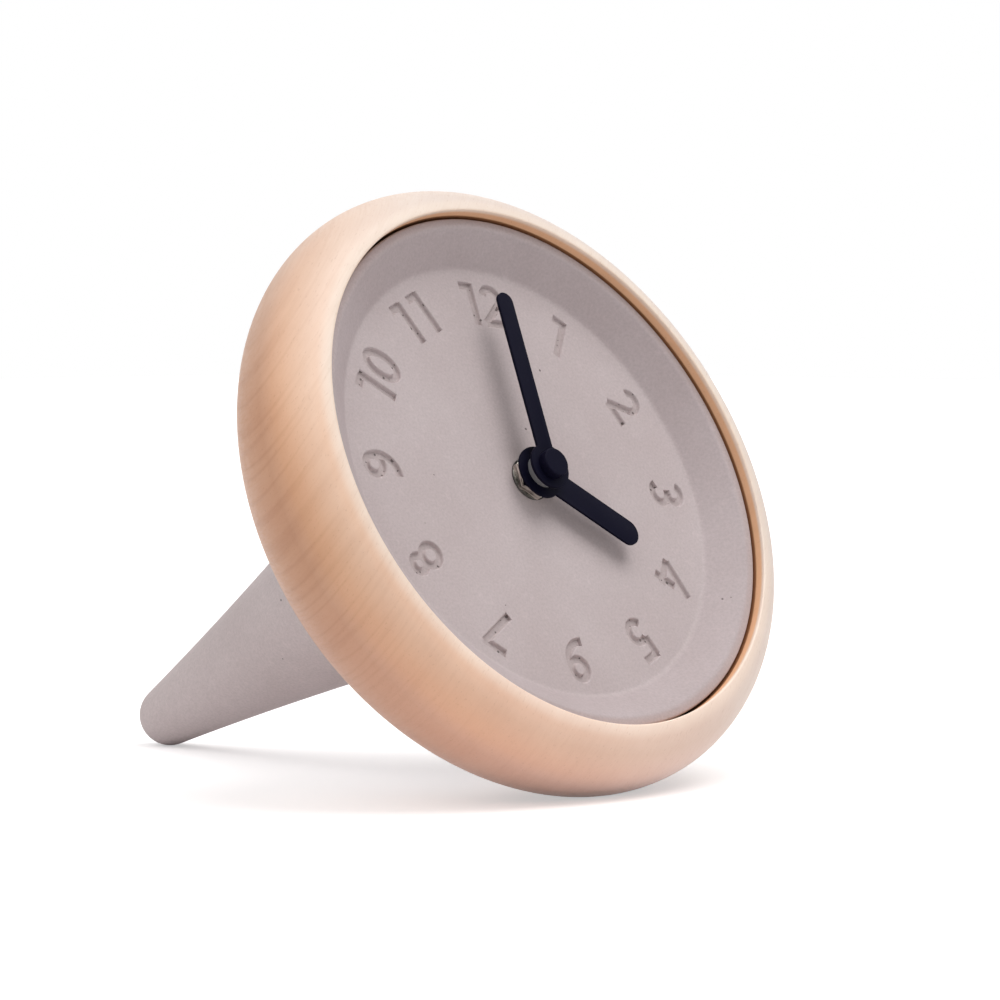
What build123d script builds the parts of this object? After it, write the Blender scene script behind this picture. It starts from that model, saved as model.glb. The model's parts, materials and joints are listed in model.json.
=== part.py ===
from build123d import *
import math
import os

# A table clock: a turned wooden ring round a cast concrete dial, propped up by a concrete cone.
# Every piece is modelled about the dial's axis, in millimetres, with local Z out of the dial,
# local Y towards twelve o'clock and Z = 0 on the dial's flat face. The finished pieces are then
# leaned back until the ring's foot and the round tip of the cone stand on Z = 0.

# Fits that several pieces share
running_gap = 0.06
seat_gap = 0.05
moving_gap = 0.3
cut_over = 2.0

# Dial
flat_radius = 53.8
slope_width = 7.9
lip_width = 2.4
lip_height = 6.6
dial_thickness = 8.0
dial_edge_round = 0.5
dial_turn = 6.6
numeral_circle = 45.1
numeral_height = 11.0
numeral_stroke = 1.8
numeral_depth = 0.9

# Wooden ring
dial_gap = 0.6
rim_width = 10.3
rim_round = 0.7
belly_back = 4.7
shoulder_radius = 17.0
shoulder_tilt = 46.0
crest_tilt = 4.0
rear_curve_width = 80.2
rear_wall = 4.0
rear_round = 1.2
foot_depth = 0.4

# Concrete cone, measured from its flange backwards
flange_thickness = 5.0
flange_seat_gap = 0.2
ledge_width = 9.6
neck_radius = 27.6
tip_slope = 8.4
tip_radius = 7.7
tip_reach = 109.3
flare_radius = 9.0
knob_room = 2.5

# Magnets between the ring and the cone
magnet_radius = 3.0
magnet_height = 3.0
magnet_count = 3

# Fixing of the movement to the dial
gasket_thickness = 1.0
gasket_radius = 10.0
washer_radius = 5.3
washer_thickness = 0.5
nut_across_flats = 9.6
nut_height = 2.1
nut_chamfer = 0.4
bush_radius = 3.9
bush_proud = 0.5

# Hands
hub_gap = 0.5
hour_length = 30.2
hour_width = 6.5
hour_hub_radius = 6.4
hour_thickness = 0.6
hour_at = 120.0
collar_radius = 4.0
collar_height = 2.1
minute_length = 44.6
minute_width = 4.7
minute_hub_radius = 5.5
minute_thickness = 0.7
minute_at = 0.0
cap_radius = 3.5
cap_height = 2.3
cap_roof = 0.7
cap_round = 0.3

# Arbors of the movement
hour_tube_radius = 2.5
minute_arbor_radius = 1.5
seconds_arbor_radius = 0.5
pivot_radius = 0.4
pivot_depth = 0.8
setting_arbor_radius = 1.2

# Wheels of the movement, in six layers behind the front plate
wheel_thickness = 1.2
layer_gap = 0.6
third_distance = 9.0
rotor_distance = 5.6
arbor_room = 0.4
third_at = 40.0
setting_at = 130.0
idler_at = 205.0
rotor_at = 180.0
centre_teeth = 64
third_pinion_teeth = 8
third_teeth = 60
seconds_pinion_teeth = 8
seconds_teeth = 40
idler_pinion_teeth = 8
idler_teeth = 48
rotor_pinion_teeth = 8
cannon_teeth = 10
minute_wheel_teeth = 40
minute_pinion_teeth = 14
hour_teeth = 42
clutch_radius = 3.4
clutch_thickness = 0.3

# Tooth outlines as shares of the module (heights) and of the pitch (half widths)
wheel_height_shares = (1.0, 0.75)
wheel_width_shares = (0.22, 0.19, 0.09)
pinion_height_shares = (1.05, 0.65)
pinion_width_shares = (0.14, 0.17, 0.08)

# Case of the movement
front_plate_thickness = 1.5
side_wall = 1.2
back_wall = 1.2
back_room = 2.7
case_corner = 4.0
case_top = 26.8
gear_floor = 10.2
partition = 1.0
chamber_play = 3.0
boss_radius = 1.6

# Setting knob
knob_radius = 6.0
knob_height = 3.5
knob_flutes = 16
flute_radius = 0.7

# Motor
rotor_radius = 3.0
rotor_height = 3.6
rotor_air_gap = 0.5
stator_thickness = 1.0
stator_arm_width = 4.0
stator_bridge = 0.25
core_thickness = 1.0
coil_length = 13.0
coil_rise = 6.0
coil_radius = 3.8
bobbin_flange_radius = 4.2
bobbin_flange_thickness = 1.0
bobbin_tube_radius = 2.7
core_overlap = 2.5

# Circuit
board_height = 10.0
board_thickness = 1.0
board_lift = 2.2
post_radius = 1.2
crystal_radius = 1.0
crystal_length = 6.0
chip_radius = 2.4
chip_height = 1.0

# Battery and its contacts
battery_radius = 7.1
battery_length = 50.0
battery_nub_radius = 2.6
battery_nub_height = 1.0
battery_play = 0.25
battery_round = 0.6
contact_thickness = 0.4
contact_width = 5.0
contact_bump_radius = 2.0

# Numerals as strokes, in shares of the numeral's height about its middle. A line is two points,
# an arc is its centre, radius, first angle and turn, and a loop is a centre and two radii.
digit_stroke_shares = {
    "0": [("loop", (0, 0), 0.24, 0.418)],
    "1": [("line", (0.07, 0.5), (0.07, -0.5)), ("line", (-0.24, 0.418), (0.07, 0.418))],
    "2": [
        ("arc", (0, 0.193), 0.225, 165, -210),
        ("line", (0.159, 0.034), (-0.30, -0.425)),
        ("line", (-0.30, -0.418), (0.31, -0.418)),
    ],
    "3": [
        ("arc", (0, 0.212), 0.206, 155, -245),
        ("arc", (0, -0.193), 0.225, 90, -245),
        ("line", (-0.08, 0.02), (0.02, 0.02)),
    ],
    "4": [
        ("line", (0.227, 0.48), (-0.295, -0.26)),
        ("line", (-0.34, -0.26), (0.32, -0.26)),
        ("line", (0.165, 0.07), (0.165, -0.5)),
    ],
    "5": [
        ("line", (-0.22, 0.418), (0.27, 0.418)),
        ("line", (-0.17, 0.45), (-0.17, 0.0)),
        ("arc", (-0.03, -0.188), 0.23, 128, -278),
    ],
    "7": [("line", (-0.29, 0.418), (0.32, 0.418)), ("line", (0.27, 0.45), (-0.17, -0.5))],
    "8": [("loop", (0, 0.24), 0.175, 0.178), ("loop", (0, -0.18), 0.225, 0.238)],
    "9": [("loop", (0, 0.2), 0.21, 0.218), ("arc", (-0.23, 0.05), 0.468, 18, -108)],
}
digit_pitch_share = 0.63


def module(distance, first_teeth, second_teeth):
    return 2 * distance / (first_teeth + second_teeth)


def polar(distance, degrees):
    return Vector(distance * math.cos(math.radians(degrees)), distance * math.sin(math.radians(degrees)))


# Modules and centres of the wheels
third_module = module(third_distance, seconds_pinion_teeth, third_teeth)
centre_module = module(third_distance, third_pinion_teeth, centre_teeth)
centre_tip = centre_module * (centre_teeth / 2 + wheel_height_shares[1])
idler_distance = centre_tip + pivot_radius + arbor_room
setting_distance = centre_tip + setting_arbor_radius + 2 * arbor_room
seconds_module = module(idler_distance, idler_pinion_teeth, seconds_teeth)
rotor_module = module(rotor_distance, rotor_pinion_teeth, idler_teeth)
cannon_module = module(setting_distance, cannon_teeth, minute_wheel_teeth)
hour_module = module(setting_distance, minute_pinion_teeth, hour_teeth)

dial_centre = Vector(0, 0)
third_centre = polar(third_distance, third_at)
setting_centre = polar(setting_distance, setting_at)
idler_centre = polar(idler_distance, idler_at)
rotor_centre = idler_centre + polar(rotor_distance, rotor_at)
stator_ring_radius = rotor_distance - pivot_radius - arbor_room
coil_distance = rotor_radius + rotor_air_gap + stator_bridge + seat_gap + bobbin_flange_radius
coil_x = rotor_centre.X - coil_distance
coil_y = rotor_centre.Y + coil_rise
coil_reach = bobbin_flange_radius + seat_gap - coil_x

# Places that follow from the sizes above
lip_radius = flat_radius + slope_width
dial_radius = lip_radius + lip_width
opening_radius = dial_radius + dial_gap
ring_radius = opening_radius + rim_width
case_front = -(dial_thickness + gasket_thickness)
gear_front = case_front - front_plate_thickness
layer_step = wheel_thickness + layer_gap
gear_room = arbor_room + 6 * layer_step - layer_gap + back_room
battery_room = 2 * (battery_radius + battery_play) + seat_gap
case_back = gear_front - max(gear_room + back_wall, battery_room)
case_depth = gear_front - case_back
inner_half_width = contact_thickness + max(battery_length / 2 + battery_nub_height, coil_reach)
case_half_width = inner_half_width + side_wall
bay_top = -gear_floor - partition
bay_bottom = bay_top - 2 * (battery_radius + battery_play)
case_bottom = bay_bottom - side_wall
case_height = case_top + side_wall - case_bottom

hour_seat = washer_thickness + nut_height + bush_proud + hub_gap
collar_seat = hour_seat + hour_thickness
minute_seat = collar_seat + collar_height + hub_gap
cap_seat = minute_seat + minute_thickness
nut_seat = washer_thickness

corner_reach = math.hypot(case_half_width, max(case_top + side_wall, -case_bottom))
chamber_radius = corner_reach + chamber_play - case_corner * (math.sqrt(2) - 1)
flange_bore = chamber_radius + ledge_width
flange_radius = flange_bore - moving_gap
rear_radius = flange_bore + rear_wall
ledge_back = case_back - moving_gap - flange_seat_gap
flange_front = ledge_back - flange_seat_gap
ring_back = flange_front - flange_thickness
tip_back = ring_back - tip_reach
magnet_circle = chamber_radius + ledge_width / 2


def layer(number):
    """Back of a wheel's layer, counted from 0 behind the front plate."""
    return gear_front - arbor_room - number * layer_step - wheel_thickness


stator_middle = layer(2) - layer_gap / 2
core_front = stator_middle - stator_thickness / 2


def disc(radius, back, front, bore=0, at=dial_centre):
    """Round plate or sleeve between two heights."""
    solid = Pos(at.X, at.Y, back) * extrude(Circle(radius), front - back)
    if bore:
        solid -= Pos(at.X, at.Y, back) * extrude(Circle(bore), front - back)
    return solid


def gear(teeth, tooth_module, heights, widths, back, at, first_tooth):
    """Toothed disc one wheel thick, with a tooth at the angle first_tooth."""
    pitch_radius = teeth * tooth_module / 2
    root = pitch_radius - heights[0] * tooth_module
    tip = pitch_radius + heights[1] * tooth_module
    flank = ((root, -widths[0]), (pitch_radius, -widths[1]), (tip, -widths[2]))
    flank += tuple((radius, -share) for radius, share in reversed(flank))
    points = []
    for tooth in range(teeth):
        middle = math.radians(first_tooth + 360 * tooth / teeth)
        for radius, share in flank:
            turn = middle + share * math.pi * tooth_module / radius
            points.append((radius * math.cos(turn), radius * math.sin(turn)))
    outline = make_face(Polyline(*points, close=True))
    return Pos(at.X, at.Y, back) * extrude(outline, wheel_thickness)


def wheel(teeth, tooth_module, layer_number, at, first_tooth):
    return gear(teeth, tooth_module, wheel_height_shares, wheel_width_shares,
                layer(layer_number), at, first_tooth)


def pinion(teeth, tooth_module, layer_number, at, first_tooth):
    return gear(teeth, tooth_module, pinion_height_shares, pinion_width_shares,
                layer(layer_number), at, first_tooth)


def facing_gap(direction, teeth):
    """First tooth of a wheel that has a gap where its neighbour, in that direction, has a tooth."""
    return direction + 180 / teeth


def tilted(degrees):
    """Direction in a turned section that leans outwards from the dial's axis."""
    return Vector(math.sin(math.radians(degrees)), math.cos(math.radians(degrees)))


# Front of the ring: a shoulder arc from its widest place, then a crown arc to the opening's edge
shoulder_middle = Vector(ring_radius - shoulder_radius, -belly_back)
shoulder_edge = shoulder_middle + tilted(shoulder_tilt) * shoulder_radius
crown_width = shoulder_edge.X - opening_radius
crown_radius = crown_width / (tilted(shoulder_tilt).X - tilted(crest_tilt).X)
crown_middle = shoulder_edge - tilted(shoulder_tilt) * crown_radius
rim_front = (crown_middle + tilted(crest_tilt) * crown_radius).Y


def rear_curve_depth():
    """Axial half axis of the ellipse that falls from the ring's widest place to its back edge."""
    middle = ring_radius - rear_curve_width
    reach = -ring_back - belly_back
    return reach / math.sqrt(1 - ((rear_radius - middle) / rear_curve_width) ** 2)


def lean_angle():
    """Lean of the dial's axis at which the ring's foot and the tip of the cone touch one table."""
    middle = ring_radius - rear_curve_width
    low, high = 0.0, math.pi / 3
    for _ in range(60):
        lean = (low + high) / 2
        across, along = math.cos(lean), math.sin(lean)
        curve = math.hypot(rear_curve_width * across, rear_curve_depth() * along)
        ring_support = middle * across + belly_back * along + curve - foot_depth
        if ring_support > tip_support(lean):
            low = lean
        else:
            high = lean
    return low


def tip_support(lean):
    """Height of the dial's centre over a table that the tip of the cone touches."""
    return -tip_back * math.sin(lean) + tip_radius


def ring_blank():
    """Turned ring: curved outside, seat for the dial in front, ledge for the cone behind."""
    rear_middle = ring_radius - rear_curve_width
    rear_end = math.degrees(math.asin((-ring_back - belly_back) / rear_curve_depth()))
    shoulder = CenterArc(shoulder_middle, shoulder_radius, 0, 90 - shoulder_tilt)
    crown = CenterArc(crown_middle, crown_radius, 90 - shoulder_tilt, shoulder_tilt - crest_tilt)
    rear_arc = EllipticalCenterArc(
        (rear_middle, -belly_back), rear_curve_width, rear_curve_depth(), -rear_end, arc_size=rear_end)
    inside = Polyline(
        rear_arc @ 0,
        (flange_bore, ring_back),
        (flange_bore, ledge_back),
        (chamber_radius, ledge_back),
        (chamber_radius, -dial_thickness),
        (opening_radius, -dial_thickness),
        crown @ 1,
    )
    section = make_face([*rear_arc.edges(), *shoulder.edges(), *crown.edges(), *inside.edges()])
    return revolve(Plane.XZ * section, Axis.Z)


def circle_edges(solid, radius, height):
    """Round edges of a turned solid at one radius and height."""
    found = solid.edges().filter_by(GeomType.CIRCLE)
    return [e for e in found if abs(e.radius - radius) < seat_gap
            and abs(e.arc_center.Z - height) < seat_gap]


def magnet_places():
    return [polar(magnet_circle, 90 + 360 * k / magnet_count) for k in range(magnet_count)]


def magnets(back, front, radius=magnet_radius):
    return [disc(radius, back, front, at=p) for p in magnet_places()]


def wooden_ring():
    solid = ring_blank()
    solid = fillet(circle_edges(solid, opening_radius, rim_front), rim_round)
    solid = fillet(circle_edges(solid, rear_radius, ring_back), rear_round)
    for pocket in magnets(ledge_back - cut_over, ledge_back + magnet_height, magnet_radius + seat_gap):
        solid -= pocket
    return solid


def stroke(kind, *shares):
    """One engraved stroke of a digit, flat on the dial's face."""
    if kind == "line":
        start, end = (Vector(*point) * numeral_height for point in shares)
        return trace(Line(start, end), numeral_stroke)
    middle = Vector(*shares[0]) * numeral_height
    if kind == "arc":
        return trace(CenterArc(middle, shares[1] * numeral_height, shares[2], shares[3]), numeral_stroke)
    across, along = shares[1] * numeral_height, shares[2] * numeral_height
    half = numeral_stroke / 2
    return Pos(middle) * (Ellipse(across + half, along + half) - Ellipse(across - half, along - half))


def numeral_cutters(hour):
    """Strokes of one number, its top to the rim; the six alone has its foot to the rim."""
    text = "9" if hour == 6 else str(hour)
    first_shift = -digit_pitch_share * numeral_height * (len(text) - 1) / 2
    cutters = []
    for place, digit in enumerate(text):
        shift = first_shift + place * digit_pitch_share * numeral_height
        for shares in digit_stroke_shares[digit]:
            flat = Rot(0, 0, -30 * hour) * Pos(shift, numeral_circle) * stroke(*shares)
            cutters.append(Pos(0, 0, -numeral_depth) * extrude(flat, numeral_depth + cut_over))
    return cutters


def dial():
    """Dished concrete disc with a raised lip, engraved numbers and a hole for the bush."""
    bush_hole = bush_radius + seat_gap
    section = make_face(Polyline(
        (bush_hole, -dial_thickness),
        (dial_radius, -dial_thickness),
        (dial_radius, lip_height),
        (lip_radius, lip_height),
        (flat_radius, 0),
        (bush_hole, 0),
        close=True,
    ))
    solid = revolve(Plane.XZ * section, Axis.Z)
    rounded = circle_edges(solid, dial_radius, lip_height) + circle_edges(solid, lip_radius, lip_height)
    solid = fillet(rounded, dial_edge_round)
    cutters = []
    for hour in range(1, 13):
        cutters += numeral_cutters(hour)
    return solid - cutters


def stand_cone():
    """Solid cone with a round tip and a flange that closes the ring's back."""
    tip = CenterArc((0, tip_back), tip_radius, -90, 90 - tip_slope)
    side = TangentArc(tip @ 1, (neck_radius, ring_back), tangent=tilted(tip_slope))
    inside = Polyline(
        (neck_radius, ring_back),
        (flange_radius, ring_back),
        (flange_radius, flange_front),
        (0, flange_front),
        (0, tip_back - tip_radius),
    )
    section = make_face([*tip.edges(), *side.edges(), *inside.edges()])
    solid = revolve(Plane.XZ * section, Axis.Z)
    solid = fillet(circle_edges(solid, neck_radius, ring_back), flare_radius)
    room = setting_distance + knob_radius + knob_room
    solid -= disc(room, knob_back() - knob_room, flange_front + cut_over)
    for pocket in magnets(flange_front - magnet_height, flange_front + cut_over, magnet_radius + seat_gap):
        solid -= pocket
    return solid


def fixing_nut():
    blank = Pos(0, 0, nut_seat) * extrude(
        RegularPolygon(nut_across_flats / 2, 6, major_radius=False), nut_height)
    face = blank.faces().sort_by(Axis.Z)[-1]
    blank = chamfer(face.edges(), nut_chamfer)
    return blank - disc(bush_radius + seat_gap, nut_seat, nut_seat + nut_height)


def hand(length, width, hub_radius, bore, seat, thickness, clock_angle):
    """Flat straight hand with a round end and a round hub, pointing at a clock angle."""
    reach = length - width / 2
    blade = Pos(0, reach / 2) * Rectangle(width, reach) + Pos(0, reach) * Circle(width / 2)
    outline = blade + Circle(hub_radius) - Circle(bore)
    return Rot(0, 0, -clock_angle) * Pos(0, 0, seat) * extrude(outline, thickness)


def hand_cap():
    cap = disc(cap_radius, cap_seat, cap_seat + cap_height)
    cap = fillet(circle_edges(cap, cap_radius, cap_seat + cap_height), cap_round)
    return cap - disc(minute_arbor_radius + seat_gap, cap_seat, cap_seat + cap_height - cap_roof)


def hour_wheel():
    """Hour wheel in the first layer, with the tube that carries the hour hand."""
    toothed = wheel(hour_teeth, hour_module, 0, dial_centre, facing_gap(setting_at, hour_teeth))
    tube = disc(hour_tube_radius, layer(0), collar_seat + collar_height)
    return toothed + tube - disc(minute_arbor_radius + running_gap, layer(0), collar_seat + collar_height)


def minute_arbor():
    """Tube with the cannon pinion in the second layer; it carries the minute hand and the cap."""
    front = cap_seat + cap_height - cap_roof - seat_gap
    toothed = pinion(cannon_teeth, cannon_module, 1, dial_centre, setting_at)
    tube = disc(minute_arbor_radius, layer(2), front)
    return toothed + tube - disc(seconds_arbor_radius + running_gap, layer(2), front)


def clutch_spring():
    """Sprung washer that presses on the centre wheel."""
    return disc(clutch_radius, layer(1) - clutch_thickness, layer(1), minute_arbor_radius + seat_gap)


def centre_wheel():
    toothed = wheel(centre_teeth, centre_module, 2, dial_centre, facing_gap(third_at, centre_teeth))
    return toothed - disc(minute_arbor_radius + running_gap, layer(2), layer(2) + wheel_thickness)


def arbor(at, front, back, radius=pivot_radius):
    return disc(radius, back, front, at=at)


def pivot_front():
    return gear_front + pivot_depth


def pivot_back():
    return case_back + back_wall + boss_height() - pivot_depth


def boss_height():
    """Height of the bearing bosses, which end short of the last layer."""
    return case_depth - back_wall - (gear_front - layer(5)) - arbor_room


def third_wheel():
    at = third_centre
    small = pinion(third_pinion_teeth, centre_module, 2, at, third_at + 180)
    large = wheel(third_teeth, third_module, 3, at, facing_gap(third_at + 180, third_teeth))
    return small + large + arbor(at, pivot_front(), pivot_back()) + arbor(at, layer(2), layer(3))


def seconds_wheel():
    """Pinion in the fourth layer and wheel in the fifth, on a thin arbor through the minute tube."""
    front = cap_seat + cap_height - cap_roof - 2 * seat_gap
    small = pinion(seconds_pinion_teeth, third_module, 3, dial_centre, third_at)
    large = wheel(seconds_teeth, seconds_module, 4, dial_centre, facing_gap(idler_at, seconds_teeth))
    return small + large + arbor(dial_centre, front, pivot_back(), seconds_arbor_radius)


def idler_wheel():
    at = idler_centre
    small = pinion(idler_pinion_teeth, seconds_module, 4, at, idler_at + 180)
    large = wheel(idler_teeth, rotor_module, 5, at, facing_gap(rotor_at, idler_teeth))
    return small + large + arbor(at, pivot_front(), pivot_back())


def rotor_pinion():
    toothed = pinion(rotor_pinion_teeth, rotor_module, 5, rotor_centre, rotor_at + 180)
    return toothed + arbor(rotor_centre, pivot_front(), pivot_back())


def rotor_magnet():
    half = rotor_height / 2
    return disc(rotor_radius, stator_middle - half, stator_middle + half, pivot_radius, rotor_centre)


def knob_front():
    return case_back - moving_gap


def knob_back():
    return knob_front() - knob_height


def minute_wheel():
    """Wheel and pinion of the motion work, on the arbor that ends in the setting knob."""
    at = setting_centre
    small = pinion(minute_pinion_teeth, hour_module, 0, at, setting_at + 180)
    large = wheel(minute_wheel_teeth, cannon_module, 1, at, facing_gap(setting_at + 180, minute_wheel_teeth))
    body = small + large + arbor(at, pivot_front(), layer(1))
    return body + arbor(at, layer(1), knob_back() + pivot_depth, setting_arbor_radius)


def setting_knob():
    at = setting_centre
    solid = disc(knob_radius, knob_back(), knob_front(), at=at)
    for flute in range(knob_flutes):
        place = setting_centre + polar(knob_radius, 360 * flute / knob_flutes)
        solid -= disc(flute_radius, knob_back(), knob_front(), at=place)
    return solid - disc(setting_arbor_radius, knob_back() + pivot_depth, knob_front(), at=at)


def case_outline(inset=0):
    """Rounded outline of the movement's case."""
    middle = (case_top + side_wall + case_bottom) / 2
    outline = RectangleRounded(2 * (case_half_width - inset), case_height - 2 * inset, case_corner - inset)
    return Pos(0, middle) * outline


def bearing_places():
    return [third_centre, idler_centre, rotor_centre]


def movement_front_plate():
    plate = Pos(0, 0, gear_front) * extrude(case_outline(), front_plate_thickness)
    plate -= disc(bush_radius, gear_front, case_front)
    for p in [*bearing_places(), setting_centre]:
        plate -= disc(pivot_radius + running_gap, gear_front, pivot_front() + seat_gap, at=p)
    return plate


def movement_back_cover():
    """Open box with bearing bosses, posts for the board and the coil, and a bay for the battery."""
    floor = case_back + back_wall
    shell = Pos(0, 0, case_back) * extrude(case_outline(), case_depth)
    shell -= Pos(0, 0, floor) * extrude(case_outline(side_wall), case_depth)
    wall_width = 2 * (inner_half_width - contact_thickness - seat_gap)
    wall = Pos(0, bay_top + partition / 2, floor) * extrude(
        Rectangle(wall_width, partition), case_depth - back_wall)
    bay_middle = (bay_top + bay_bottom) / 2
    bay = Pos(0, bay_middle, case_back) * extrude(
        Rectangle(2 * inner_half_width, bay_top - bay_bottom), back_wall)
    shell = shell - bay + wall
    for p in [*bearing_places(), dial_centre]:
        shell += disc(boss_radius, floor, floor + boss_height(), at=p)
    for x in (-board_post_x(), board_post_x()):
        shell += disc(post_radius, floor, floor + board_lift, at=Vector(x, board_middle()))
    for end in core_ends():
        shell += disc(post_radius, floor, core_front - core_thickness, at=Vector(coil_x, end))
    for p in bearing_places():
        shell -= disc(pivot_radius + running_gap, pivot_back() - seat_gap, floor + boss_height(), at=p)
    shell -= disc(seconds_arbor_radius + running_gap, pivot_back() - seat_gap, floor + boss_height())
    return shell - disc(setting_arbor_radius + running_gap, case_back, floor, at=setting_centre)


def threaded_bush():
    front = washer_thickness + nut_height + bush_proud
    return disc(bush_radius, gear_front, front, hour_tube_radius + running_gap)


def stator():
    """Flat plate with a hole round the rotor and two arms to the ends of the coil's core."""
    hub = Vector(rotor_centre.X, rotor_centre.Y)
    outline = Pos(hub) * Circle(stator_ring_radius)
    for end in core_ends():
        outline += trace(Polyline(hub, (hub.X, end), (coil_x, end)), stator_arm_width)
        outline += Pos(coil_x, end) * Circle(stator_arm_width / 2)
    outline -= Pos(hub) * Circle(rotor_radius + rotor_air_gap)
    coil_room = 2 * seat_gap + 2 * bobbin_flange_thickness + coil_length
    outline -= Pos(coil_x, coil_y) * Rectangle(2 * (bobbin_flange_radius + seat_gap), coil_room)
    return Pos(0, 0, core_front) * extrude(outline, stator_thickness)


def core_ends():
    half = coil_length / 2 + bobbin_flange_thickness + core_overlap
    return (coil_y - half, coil_y + half)


def coil_core():
    low, high = core_ends()
    bar = Rectangle(stator_arm_width, high - low + stator_arm_width)
    return Pos(coil_x, coil_y, core_front - core_thickness) * extrude(bar, core_thickness)


def along_coil(profile, length, start):
    """Extrusion along the coil's axis, from a place on it."""
    plane = Plane((coil_x, start, core_front - core_thickness / 2), x_dir=(1, 0, 0), z_dir=(0, 1, 0))
    return extrude(plane * profile, length)


def coil_bobbin():
    start = coil_y - coil_length / 2
    solid = along_coil(Circle(bobbin_tube_radius), coil_length, start)
    for place in (start - bobbin_flange_thickness, start + coil_length):
        solid += along_coil(Circle(bobbin_flange_radius), bobbin_flange_thickness, place)
    slot = Rectangle(stator_arm_width + seat_gap, core_thickness + seat_gap)
    whole = coil_length + 2 * bobbin_flange_thickness
    return solid - along_coil(slot, whole, start - bobbin_flange_thickness)


def coil_winding():
    ring = Circle(coil_radius) - Circle(bobbin_tube_radius + seat_gap)
    return along_coil(ring, coil_length - 2 * seat_gap, coil_y - coil_length / 2 + seat_gap)


def board_middle():
    return case_top - board_height / 2 - seat_gap


def board_post_x():
    return inner_half_width - case_corner


def board_front():
    return case_back + back_wall + board_lift + board_thickness


def circuit_board():
    width = 2 * (inner_half_width - contact_thickness)
    outline = Rectangle(width, board_height)
    solid = Pos(0, board_middle(), board_front() - board_thickness) * extrude(outline, board_thickness)
    corners = Pos(0, 0, case_back) * extrude(case_outline(side_wall + seat_gap), case_depth)
    return solid & corners


def quartz_crystal():
    plane = Plane((crystal_length, board_middle(), board_front() + crystal_radius), z_dir=(1, 0, 0))
    can = extrude(plane * Circle(crystal_radius), crystal_length)
    return fillet(can.edges(), crystal_radius / 3)


def control_chip():
    blob = Pos(-crystal_length, board_middle(), board_front()) * extrude(Circle(chip_radius), chip_height)
    return fillet(circle_edges(blob, chip_radius, board_front() + chip_height), chip_height / 2)


def battery_plane(x):
    middle = ((bay_top + bay_bottom) / 2, gear_front - battery_radius - battery_play)
    return Plane((x, *middle), z_dir=(1, 0, 0))


def battery():
    """Round cell lying across the bay, with its nub to the right."""
    body_length = battery_length - battery_nub_height
    can = extrude(battery_plane(-battery_length / 2) * Circle(battery_radius), body_length)
    can = fillet(can.edges().filter_by(GeomType.CIRCLE), battery_round)
    nub_start = battery_plane(-battery_length / 2 + body_length)
    return can + extrude(nub_start * Circle(battery_nub_radius), battery_nub_height)


def contact(side):
    """Metal strip along a side wall, from the battery's end up to the circuit board."""
    end = battery_plane(0).origin
    low, high = end.Y - battery_nub_radius, board_middle()
    back, front = board_front() - board_thickness, end.Z + contact_width / 2
    inner = side * (inner_half_width - contact_thickness)
    strip = Pos(inner + side * contact_thickness / 2, (low + high) / 2, back) * extrude(
        Rectangle(contact_thickness, high - low), front - back)
    bump = Plane((inner, end.Y, end.Z), z_dir=(-side, 0, 0)) * Circle(contact_bump_radius)
    return strip + extrude(bump, abs(inner) - battery_length / 2 - seat_gap)


def in_dial():
    """Pieces that turn with the dial's roll in the ring."""
    return {
        "dial": dial(),
        "rubber_gasket": disc(gasket_radius, case_front, -dial_thickness, bush_radius + seat_gap),
        "nut_washer": disc(washer_radius, 0, washer_thickness, bush_radius + seat_gap),
        "fixing_nut": fixing_nut(),
        "threaded_bush": threaded_bush(),
        "movement_front_plate": movement_front_plate(),
        "movement_back_cover": movement_back_cover(),
        "hour_wheel": hour_wheel(),
        "hour_hand": hand(hour_length, hour_width, hour_hub_radius, hour_tube_radius + seat_gap,
                          hour_seat, hour_thickness, hour_at),
        "hour_collar": disc(collar_radius, collar_seat, collar_seat + collar_height,
                            hour_tube_radius + seat_gap),
        "minute_arbor": minute_arbor(),
        "minute_hand": hand(minute_length, minute_width, minute_hub_radius, minute_arbor_radius + seat_gap,
                            minute_seat, minute_thickness, minute_at),
        "hand_cap": hand_cap(),
        "clutch_spring": clutch_spring(),
        "centre_wheel": centre_wheel(),
        "third_wheel": third_wheel(),
        "seconds_wheel": seconds_wheel(),
        "idler_wheel": idler_wheel(),
        "rotor_pinion": rotor_pinion(),
        "rotor_magnet": rotor_magnet(),
        "minute_wheel": minute_wheel(),
        "setting_knob": setting_knob(),
        "stator": stator(),
        "coil_core": coil_core(),
        "coil_bobbin": coil_bobbin(),
        "coil_winding": coil_winding(),
        "circuit_board": circuit_board(),
        "quartz_crystal": quartz_crystal(),
        "control_chip": control_chip(),
        "battery": battery(),
        "contact_positive": contact(1),
        "contact_negative": contact(-1),
    }


def standing():
    """Place of the dial's frame over the table, before it is centred from front to back."""
    lean = lean_angle()
    return Pos(0, 0, tip_support(lean)) * Rot(90 - math.degrees(lean), 0, 0)


def foot_cut(solid):
    """Flat sanded on the ring's underside, level with the table."""
    size = 4 * ring_radius
    return solid - Pos(0, 0, -size / 2) * Box(size, size, size)


ring = foot_cut(standing() * wooden_ring())
cone = standing() * stand_cone()
front_edge = ring.bounding_box().min.Y
back_edge = cone.bounding_box().max.Y
centred = Pos(0, -(front_edge + back_edge) / 2, 0)

pieces = {"wooden_ring": centred * ring, "stand_cone": centred * cone}
pieces["ring_magnets"] = centred * standing() * Compound(magnets(ledge_back, ledge_back + magnet_height))
pieces["cone_magnets"] = centred * standing() * Compound(magnets(flange_front - magnet_height, flange_front))
for name, solid in in_dial().items():
    pieces[name] = centred * standing() * Rot(0, 0, -dial_turn) * solid

os.makedirs("parts", exist_ok=True)
for name, solid in pieces.items():
    export_step(solid, f"parts/{name}.step")

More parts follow.
